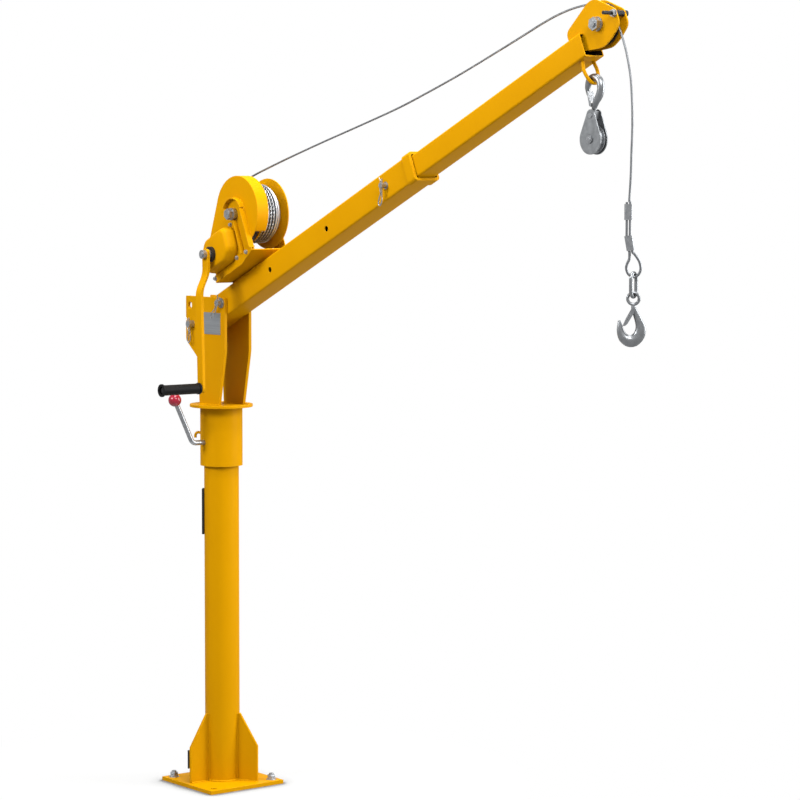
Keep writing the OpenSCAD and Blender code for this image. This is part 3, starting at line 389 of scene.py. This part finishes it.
def dressed(names, material, edge_mm=0.8, limit=50, smooth=35, bore=None):
    """Closed copies of CAD nodes with their sharp edges broken, in place of the nodes.

    bore is a material and a test of a face's middle and normal, for the inside of a tube.
    """
    for name in names:
        node = nodes[name]
        form = bmesh.new()
        form.from_mesh(node.data)
        bmesh.ops.remove_doubles(form, verts=form.verts, dist=0.00002)
        bmesh.ops.dissolve_limit(form, angle_limit=math.radians(0.6), verts=form.verts,
                                 edges=form.edges)
        shade(form, smooth)
        if bore:
            for face in form.faces:
                face.material_index = int(bore[1](face.calc_center_median(), face.normal))
        mesh = to_mesh(form, name + "_finished")
        mesh.materials.append(material)
        if bore:
            mesh.materials.append(bore[0])
        piece = bpy.data.objects.new(name + "_finished", mesh)
        bpy.context.collection.objects.link(piece)
        if edge_mm:
            softened = piece.modifiers.new("broken_edges", "BEVEL")
            softened.width = edge_mm * mm
            softened.segments = 2
            softened.limit_method = "ANGLE"
            softened.angle_limit = math.radians(limit)
            softened.harden_normals = True
        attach(piece, body_of(node)[0])
        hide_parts(name)


dressed(["base_plate", "gussets"], powder_coat, 1.0)
dressed(["post_tube"], powder_coat, 0.6)


def weld_bead(name, path, size_mm, body, closed=False):
    """Fillet of weld metal along a line, rippled by the runs of the torch and painted over."""
    girth = [1 + 0.1 * math.sin(i * 1.9) + draw.uniform(-0.07, 0.07) for i in range(len(path))]
    bead = place(name, swept(name, path, round_ring(size_mm * mm, 10), girth=girth, closed=closed),
                 powder_coat, body, smooth=80)


def ring_line(middle, radius_mm, start=0, end=360, step_mm=3.0):
    """Points round a level circle about the Z axis."""
    count = max(4, round(math.radians(end - start) * radius_mm / step_mm))
    turns = [math.radians(start + (end - start) * i / count) for i in range(count + (end - start < 360))]
    return [Vector(middle) + radius_mm * mm * Vector((math.cos(t), math.sin(t), 0)) for t in turns]


def straight_line(a, b, step_mm=3.0):
    """Points in metres on a straight line between two places in mm."""
    a, b = Vector(a) * mm, Vector(b) * mm
    count = max(2, round((b - a).length / (step_mm * mm)))
    return [a.lerp(b, i / count) for i in range(count + 1)]


# Bright zinc: electroplated on turned and drawn steel, clear passivated; its cloudy tone
# shifts over about 9 mm, fine turning marks lie in its gloss, and it is paler along its edges
bright_zinc, tree = new_material("bright_zinc_plated_steel")
bloom = mottle(tree, 9, 3.0)
tone = between(tree, bloom, "#8e9195", "#c6c9cc")
pale_edged = between(tree, edge_share(tree, 0.001, 0.75), tone, "#e3e4e6")
surfaced(tree, {"Base Color": pale_edged, "Roughness": spread(tree, bloom, 0.2, 0.38), "Metallic": 0.8,
                "Normal": bumped(tree, 0.1, 0.0002, mottle(tree, 1.2, 2.0))})


washer_t = 1.6


def hex_bolt(name, foot, axis, across_mm, head_mm, body, material, washer_mm=0, stud_mm=0, shank_mm=8):
    """Hexagon head or nut on a washer, along an axis; a stud may stand out of it."""
    form = bmesh.new()
    bmesh.ops.create_cone(form, cap_ends=True, segments=6, radius1=across_mm * mm / math.sqrt(3),
                          radius2=across_mm * mm / math.sqrt(3), depth=head_mm * mm)
    top = [e for e in form.edges if all(v.co.z > 0 for v in e.verts)]
    bmesh.ops.bevel(form, geom=top, offset=0.09 * across_mm * mm, segments=2, profile=0.5,
                    affect="EDGES", material=-1)
    rise = washer_t if washer_mm else 0
    bmesh.ops.translate(form, verts=form.verts, vec=(0, 0, (rise + head_mm / 2) * mm))
    crown = rise + head_mm
    for radius, low, high in ((washer_mm / 2, 0, rise), (shank_mm / 2, crown - 0.5, crown + stud_mm)):
        if radius and high > low + 1:
            middle = (low + high) / 2 * mm
            made = bmesh.ops.create_cone(form, cap_ends=True, segments=32, radius1=radius * mm,
                                         radius2=radius * mm, depth=(high - low) * mm)["verts"]
            bmesh.ops.translate(form, verts=made, vec=(0, 0, middle))
            rims = [e for e in form.edges if e.verts[0] in made and e.verts[0].co.z > middle
                    and abs(e.verts[0].co.z - e.verts[1].co.z) < 1e-6]
            bmesh.ops.bevel(form, geom=rims, offset=0.25 * mm, segments=2, profile=0.5,
                            affect="EDGES", material=-1)
    turn = Vector(axis).to_track_quat("Z", "Y").to_matrix().to_4x4()
    bmesh.ops.transform(form, matrix=Matrix.Translation(foot) @ turn, verts=form.verts)
    return place(name, to_mesh(form, name), material, body)


base_t = 10
anchor_at = 90
for i, side in enumerate((-1, 1)):
    foot = Vector((side * anchor_at, side * anchor_at, base_t)) * mm
    bolt = hex_bolt(f"anchor_bolt_{i + 1}", foot, (0, 0, 1), 19, 11, "post", bright_zinc,
                    washer_mm=26, stud_mm=4, shank_mm=12)

post_r = 44.45
gusset_t, gusset_r, gusset_top = 8, 100, 184
foot_weld, gusset_weld = 3, 2.2
for i, turned in enumerate((30, 150, 270)):
    out = Vector((math.cos(math.radians(turned)), math.sin(math.radians(turned)), 0))
    across = Vector((-out.y, out.x, 0))
    weld_bead(f"weld_post_foot_{i + 1}",
              ring_line((0, 0, (base_t + 1) * mm), post_r + 1, turned + 8, turned + 112), foot_weld, "post")
    for side, name in ((-1, "left"), (1, "right")):
        off = across * side * (gusset_t / 2 + 0.6)
        low, high = Vector((0, 0, base_t + 0.6)), Vector((0, 0, gusset_top - 1))
        corner = out * (post_r - 0.2) + off
        weld_bead(f"weld_gusset_foot_{name}_{i + 1}",
                  straight_line(out * (post_r + 2) + off + low, out * (gusset_r - 2) + off + low),
                  gusset_weld, "post")
        weld_bead(f"weld_gusset_{name}_{i + 1}", straight_line(corner + low, corner + high),
                  gusset_weld, "post")

# ---- Blank strips -----------------------------------------------------------
# Two blank strips of black moulded plastic, stuck to the post and to the near gusset on
# the side away from the boom.
# Black nylon, injection moulded: a dull skin, a little greyer where it is handled
black_nylon, tree = new_material("black_moulded_nylon")
grain = mottle(tree, 5, 3.0)
surfaced(tree, {"Base Color": between(tree, grain, "#0f0f10", "#202022"),
                "Roughness": spread(tree, grain, 0.42, 0.6), "Normal": bumped(tree, 0.1, 0.0002, grain)})


def blank_strip(name, middle_mm, size_mm, turned, body):
    """Flat strip with rounded edges, turned about Z."""
    form = bmesh.new()
    bmesh.ops.create_cube(form, size=1)
    bmesh.ops.scale(form, verts=form.verts, vec=Vector(size_mm) * mm)
    bmesh.ops.bevel(form, geom=form.edges[:], offset=0.9 * mm, segments=3, profile=0.5,
                    affect="EDGES", material=-1)
    turn = Matrix.Rotation(math.radians(turned), 3, "Z")
    bmesh.ops.rotate(form, verts=form.verts, cent=(0, 0, 0), matrix=turn)
    bmesh.ops.translate(form, verts=form.verts, vec=Vector(middle_mm) * mm)
    strip = place(name, to_mesh(form, name), black_nylon, body)


strip_turn = 231
strip_out = post_r + 2.5
strip_middle = (strip_out * math.cos(math.radians(strip_turn)),
                strip_out * math.sin(math.radians(strip_turn)), 704)
blank_strip("blank_strip_post", strip_middle, (6, 24, 117), strip_turn, "post")
blank_strip("blank_strip_gusset", (-gusset_t / 2 - 1.5, -85, 71), (3, 38, 48), 0, "post")

# ---- Swivel head ------------------------------------------------------------
# A sleeve that turns on the post, a disc flange and the two yoke plates that carry the
# boom: steel, welded up and powder coated. Two nylon bushes line the sleeve.
dressed(["sleeve", "swivel_flange", "yoke_plate_left", "yoke_plate_right"], powder_coat, 0.9)

finish(["thrust_pad", "sleeve_bushes"], black_nylon)

sleeve_r = 54.0
sleeve_top = 973.3
sleeve_weld, yoke_weld = 2.6, 2.4
weld_bead("weld_sleeve_top", ring_line((0, 0, (sleeve_top - 0.4) * mm), sleeve_r + 0.4), sleeve_weld,
          "swivel_head", closed=True)
flange_top = 980.3
yoke_out = 41.5
yoke_back, yoke_front = -34, 62
for side, name in ((-1, "right"), (1, "left")):
    weld_y, weld_z = side * (yoke_out + 0.4), flange_top + 0.4
    weld_bead(f"weld_yoke_{name}", straight_line((yoke_back, weld_y, weld_z), (yoke_front, weld_y, weld_z)),
              yoke_weld, "swivel_head")

# ---- Pins, clips and rating plate -------------------------------------------
# Turned pins with a flat head, each kept by a bowed spring clip; a blank aluminium plate.
finish(["pivot_pin", "angle_pin", "clamp_screw", "extension_pin"], bright_zinc)
dressed(["pin_clips", "extension_clip"], bright_zinc, 0, smooth=60)

# Brushed aluminium sheet: grain along its length, about 0.6 mm apart, drawn 2 mm to show
blank_plate, tree = new_material("brushed_aluminium_sheet")
spot = add(tree, "ShaderNodeTexCoord")
along = add(tree, "ShaderNodeMapping", {"Vector": spot.outputs["Object"], "Scale": (12.0, 500.0, 500.0)})
streaks = add(tree, "ShaderNodeTexNoise", {"Vector": along.outputs[0], "Scale": 1.0, "Detail": 3.0})
brush = streaks.outputs["Fac"]
surfaced(tree, {"Base Color": between(tree, brush, "#9a9ea2", "#c6cace"), "Metallic": 1.0,
                "Roughness": spread(tree, brush, 0.3, 0.5), "Normal": bumped(tree, 0.15, 0.0002, brush)})
finish(["rating_plate"], blank_plate)
dressed(["parking_hook"], powder_coat, 0, smooth=60)

# ---- Clamp lever ------------------------------------------------------------
# Bent steel rod, zinc plated, that locks the swivel; a red phenolic ball is pushed on.
dressed(["clamp_arm"], bright_zinc, 0, smooth=60)

# Red phenolic, moulded and polished: a glossy skin over a deep, even crimson
red_ball, tree = new_material("red_moulded_phenolic")
flow = mottle(tree, 12, 2.0)
surfaced(tree, {"Base Color": between(tree, flow, "#9c0f2b", "#c41a3c"),
                "Roughness": spread(tree, flow, 0.16, 0.28), "Coat Weight": 0.4})
finish(["clamp_knob"], red_ball)

# ---- Outer boom -------------------------------------------------------------
# Square hollow section, powder coated, with a collar welded round its mouth and nylon
# slip pads inside; the winch stands on a plate welded to its top.
# Bare mill-scale steel inside the tubes, where the powder does not reach, painted near black as the shade
# inside the tube: dark and dull
mill_scale_and_shade, tree = new_material("mill_scale_with_painted_shade")
scale = mottle(tree, 20, 5.0)
surfaced(tree, {"Base Color": between(tree, scale, "#141210", "#2e2823"),
                "Roughness": spread(tree, scale, 0.6, 0.8)})

boom_along = boom_point(1, 0, 0) - boom_point(0, 0, 0)
boom_along.normalize()


def in_bore(middle, normal):
    """Whether a face of a boom tube looks in at the tube's own middle line, by over 20 mm."""
    off = middle - pivot
    off -= boom_along * off.dot(boom_along)
    return abs(normal.dot(boom_along)) < 0.3 and normal.dot(off) < -0.02


dressed(["outer_boom"], powder_coat, 0.7, bore=(mill_scale_and_shade, in_bore))
dressed(["boom_collar", "winch_mount_plate"], powder_coat, 0.7)
finish(["mouth_pads", "tail_pads"], black_nylon)

# ---- Winch frame ------------------------------------------------------------
# Folded tray, side plate, two uprights and the pressed covers of gear and brake: sheet
# steel, welded and screwed together, powder coated with the rest.
dressed(["winch_tray", "winch_side_plate", "winch_near_upright", "winch_far_upright"], powder_coat, 0.7)
dressed(["gear_cover"], powder_coat, 1.6)
dressed(["brake_housing"], powder_coat, 1.0, limit=60, smooth=50)
finish(["crank_bush"], black_nylon)
finish(["drum_shaft", "crank_shaft"], bright_zinc)


winch_u, boom_top = 95, 32.5


def winch_point(a, y, b):
    """Place in the winch's own frame: along the boom, across, above its top face."""
    return boom_point(a + winch_u, y, b + boom_top)


# Each screw's foot: along the boom, above it, and across
screw_feet = ((66, 113, -72), (62, 26, -75), (-47, 15, -75), (104, 24, -75))
for i, (a, b, y) in enumerate(screw_feet):
    screw = hex_bolt(f"frame_screw_{i + 1}", winch_point(a, y, b), (0, -1, 0), 8, 4, "boom", bright_zinc,
                     washer_mm=11)

# ---- Drum and rope turns ----------------------------------------------------
# Drum with a sheet steel flange on its far side and a cast gear on its near side. Its
# rope lies in loose turns on the layers below, the last ones stepping down them.
dressed(["drum"], powder_coat, 0.6)

# Grey iron, cast and painted black: a dull, slightly rough skin, paler on its edges
black_iron, tree = new_material("black_painted_cast_iron")
skin = mottle(tree, 3, 4.0)
tone = between(tree, skin, "#101011", "#2b2b2d")
pale_edged = between(tree, edge_share(tree, 0.0012, 0.8, 0.55), tone, "#6a6b6e")
surfaced(tree, {"Base Color": pale_edged, "Roughness": spread(tree, skin, 0.38, 0.6), "Metallic": 0.3,
                "Normal": bumped(tree, 0.25, 0.0003, skin)})
finish(["drum_gear", "keeper_bolt", "head_sheave"], black_iron)

# The same galvanised wire rope, given painted light on its turns on the drum: brighter zinc, and paler
# painted shade between the turns
lit_rope_finish = wire_rope_finish("lit_galvanised_wire_rope", "#b4b7bb", "#e0e2e5", "#505255")

# The top turns, loosely laid: radius of the rope's centre and place across the drum
turn_pitch = 8.4
wound = [(winding_r - rope_r, -28.5 + turn_pitch * i) for i in range(6)]
wound += [(67.5, 19.5), (62, 25.0), (57, 29.6)]
turn_points = []
turn_steps = 48
for i in range(len(wound) - 1):
    (r0, y0), (r1, y1) = wound[i], wound[i + 1]
    for k in range(turn_steps):
        t = k / turn_steps
        turned = rope_lift + 2 * math.pi * t
        r = r0 + (r1 - r0) * t
        turn_points.append(boom_point(drum_u + r * math.cos(turned), y0 + (y1 - y0) * t,
                                      drum_v + r * math.sin(turned)))
turns_mesh = swept("turns", turn_points, strand_ring(rope_r * mm, points=3), lay_twist)
turns = place("rope_turns", turns_mesh, lit_rope_finish, "winch_drum", smooth=80)

# Layers below the top one, seen only in the gaps between its turns, in the darker rope finish as painted
# shade: radius and place across
form = bmesh.new()
under_r = winding_r - 4.6
layer = [(40, -30.5), (under_r, -30.5), (under_r, 13), (63, 20), (55, 28), (53, 32.5), (40, 32.5)]
ring = [form.verts.new(boom_point(drum_u + r, y, drum_v)) for r, y in layer]
sides = [form.edges.new((ring[i], ring[(i + 1) % len(ring)])) for i in range(len(ring))]
bmesh.ops.spin(form, geom=ring + sides, cent=boom_point(drum_u, 0, drum_v), axis=(0, 1, 0),
               angle=2 * math.pi, steps=96, use_merge=True)
under = place("rope_under_layers", to_mesh(form, "rope_under_layers"), rope_finish, "winch_drum")
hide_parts("rope_winding")

# ---- Crank ------------------------------------------------------------------
# Flat steel arm with a double bend, powder coated, and a rubber grip that turns on a rod.


def rod_end(middle, normal):
    """Whether a face is the far end of the grip's rod, 200 mm out, which has a plastic cap."""
    return middle.y < -0.2 and normal.y < -0.9


dressed(["crank_arm"], powder_coat, 0.8, bore=(black_nylon, rod_end))

# Black rubber, moulded: matte and faintly grey where hands have rubbed it
grip_rubber, tree = new_material("black_moulded_rubber")
dust = mottle(tree, 8, 4.0)
surfaced(tree, {"Base Color": between(tree, dust, "#060607", "#101011"),
                "Roughness": spread(tree, dust, 0.45, 0.65), "Specular IOR Level": 0.2})
finish(["crank_grip"], grip_rubber)

# ---- Inner boom and head ----------------------------------------------------
# Inner square tube with two laser-cut cheeks welded into its end, a cast sheave on an
# axle with nuts, a keeper bolt, and the bent rod that the snatch block hangs from.
dressed(["inner_boom"], powder_coat, 0.6, bore=(mill_scale_and_shade, in_bore))
dressed(["head_cheek_left", "head_cheek_right"], powder_coat, 0.6)
dressed(["block_loop"], powder_coat, 0, smooth=60)
finish(["head_axle", "keeper_nut"], bright_zinc)

# ---- Rope end, block and hooks ----------------------------------------------
# Pressed ferrules and a stiff strand rope end in a spliced eye; a link, a drop-forged
# load hook, and a snatch block with a hook of the same make.
finish(["upper_ferrule", "lower_ferrule", "block_latch", "block_pins", "block_sheave"], bright_zinc)
finish(["rope_strands", "rope_eye"], rope_finish)

# Barrel-galvanised forging: a satin zinc skin, cloudy over about 12 mm, and painted shade darkening it in
# hollows
galvanised, tree = new_material("galvanised_forging")
bloom = mottle(tree, 12, 3.0)
hollow = add(tree, "ShaderNodeAmbientOcclusion", {"Distance": 0.012}, samples=4)
open_part = spread(tree, hollow.outputs["AO"], 0.0, 1.0, 0.3, 0.9)
# Painted shade: the hollows turn dark grey
zinc_and_painted_shade = between(tree, open_part, "#3a3c3e", between(tree, bloom, "#85888b", "#b0b3b6"))
surfaced(tree, {"Base Color": zinc_and_painted_shade, "Roughness": spread(tree, bloom, 0.26, 0.4), "Metallic": 0.85,
                "Normal": bumped(tree, 0.1, 0.0002, mottle(tree, 2, 3.0))})
dressed(["block_hook", "hook_link", "load_hook"], galvanised, 0, smooth=60)
dressed(["block_plates"], galvanised, 0.5)

# The load hook's latch, folded from sheet: two deep flanges and a web, leaning to the tip
latch_pivot = (12, 0, -223.0)
latch_in, latch_out = 7.4, 8.6
latch_reach, latch_drop = 21.6, 36
latch_long = math.hypot(latch_reach, latch_drop)
flange_shape = [(-3.4, -1), (-2, 2.8), (2, 2.8), (4, -1), (5.4, -6), (5.4, -0.78 * latch_long),
                (3.2, -0.95 * latch_long), (-0.6, -latch_long), (-2.6, -0.6 * latch_long)]
web_shape = [(-0.6, -14), (0.6, -14), (0.6, -latch_long), (-0.6, -latch_long)]
latch_turn = Matrix.Rotation(math.atan2(latch_reach, latch_drop), 3, "Y")
form = bmesh.new()
for shape, low, high in ((flange_shape, -latch_out, -latch_in), (flange_shape, latch_in, latch_out),
                         (web_shape, -latch_out, latch_out)):
    flat = [latch_turn @ Vector((x, low, z)) for x, z in shape]
    face = form.faces.new([form.verts.new(v) for v in flat])
    raised = bmesh.ops.extrude_face_region(form, geom=[face])["geom"]
    far_side = [v for v in raised if isinstance(v, bmesh.types.BMVert)]
    bmesh.ops.translate(form, verts=far_side, vec=(0, high - low, 0))
bmesh.ops.translate(form, verts=form.verts, vec=latch_pivot)
bmesh.ops.rotate(form, verts=form.verts, cent=(0, 0, 0), matrix=Matrix.Rotation(fall_turn, 3, "Z"))
bmesh.ops.scale(form, verts=form.verts, vec=(mm, mm, mm))
bmesh.ops.translate(form, verts=form.verts, vec=fall_place)
latch = place("hook_latch_folded", to_mesh(form, "hook_latch_folded"), bright_zinc, "hook_catch")
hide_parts("hook_latch")

# ---- Floor, world and lamps -------------------------------------------------
# Pale studio floor that runs out to white; soft boxes overhead, at the far right, high
# in front, and at the near left for the boom's side and the winch.
white_light = (1, 1, 1, 1)
mirror_level = 0.5  # how brightly metals see the floor and the studio, next to the camera
floor_finish, tree = new_material("pale_floor")
spot = add(tree, "ShaderNodeTexCoord")
far = add(tree, "ShaderNodeVectorMath", {0: spot.outputs["Object"]}, operation="LENGTH")
fade = spread(tree, far.outputs["Value"], 0.0, 1.0, 0.35, 0.8)
path = add(tree, "ShaderNodeLightPath")
from_camera, from_mirror = path.outputs["Is Camera Ray"], path.outputs["Is Glossy Ray"]
white_part = combined(tree, "MULTIPLY", fade, combined(tree, "MAXIMUM", from_camera, from_mirror))
paint = between(tree, path.outputs["Is Diffuse Ray"], "#f4f4f3", "#8f8f8e")
matte = add(tree, "ShaderNodeBsdfDiffuse", {"Color": paint})
# Painted contact shadow: an occlusion mask darkens the floor's glow next to the object
near = add(tree, "ShaderNodeAmbientOcclusion", {"Distance": 0.06}, samples=16)
shadow = spread(tree, near.outputs["AO"], 0.2, 1.0, 0.84, 0.98)
lit = add(tree, "ShaderNodeEmission", {"Color": white_light, "Strength": shadow})
lit_part = combined(tree, "MULTIPLY", from_camera, 0.8)
kept = add(tree, "ShaderNodeMixShader", {0: lit_part, 1: matte.outputs[0], 2: lit.outputs[0]})
level = spread(tree, from_mirror, 1.0, mirror_level)
white = add(tree, "ShaderNodeEmission", {"Color": white_light, "Strength": level})
both = add(tree, "ShaderNodeMixShader", {0: white_part, 1: kept.outputs[0], 2: white.outputs[0]})
add(tree, "ShaderNodeOutputMaterial", {"Surface": both.outputs[0]})
form = bmesh.new()
floor_r = 14
bmesh.ops.create_circle(form, cap_ends=True, segments=96, radius=floor_r)
floor = place("floor", to_mesh(form, "floor"), floor_finish)

world = bpy.data.worlds.new("studio")
bpy.context.scene.world = world
world.use_nodes = True
tree = world.node_tree
tree.nodes.clear()
path = add(tree, "ShaderNodeLightPath")
mirror = combined(tree, "MAXIMUM", path.outputs["Is Glossy Ray"], path.outputs["Is Transmission Ray"])
seen = combined(tree, "MAXIMUM", path.outputs["Is Camera Ray"], mirror)
fill = add(tree, "ShaderNodeBackground", {"Color": white_light, "Strength": 0.12})
level = spread(tree, mirror, 1.0, mirror_level)
white = add(tree, "ShaderNodeBackground", {"Color": white_light, "Strength": level})
both = add(tree, "ShaderNodeMixShader", {0: seen, 1: fill.outputs[0], 2: white.outputs[0]})
add(tree, "ShaderNodeOutputWorld", {"Surface": both.outputs[0]})


def soft_box(name, spot, aim, width, height, power):
    """Rectangular lamp at a spot, turned to aim at another; metres and watts."""
    lamp = bpy.data.lights.new(name, "AREA")
    lamp.shape = "RECTANGLE"
    lamp.size = width
    lamp.size_y = height
    lamp.energy = power
    stand = bpy.data.objects.new(name, lamp)
    bpy.context.collection.objects.link(stand)
    stand.location = spot
    stand.rotation_euler = (Vector(aim) - Vector(spot)).to_track_quat("-Z", "Y").to_euler()


soft_box("top_box", (0.9, 0.2, 4.6), (0.6, 0, 1), 3.0, 2.4, 168)
soft_box("right_box", (2.6, 2.6, 1.9), (0.2, 0, 0.9), 1.2, 2.6, 84)
soft_box("front_box", (3.3, -0.9, 3.4), (0.3, 0, 1.0), 1.3, 1.3, 50)
soft_box("left_box", (-0.2, -3.2, 3.0), (0.7, 0, 1.6), 1.4, 1.4, 74)
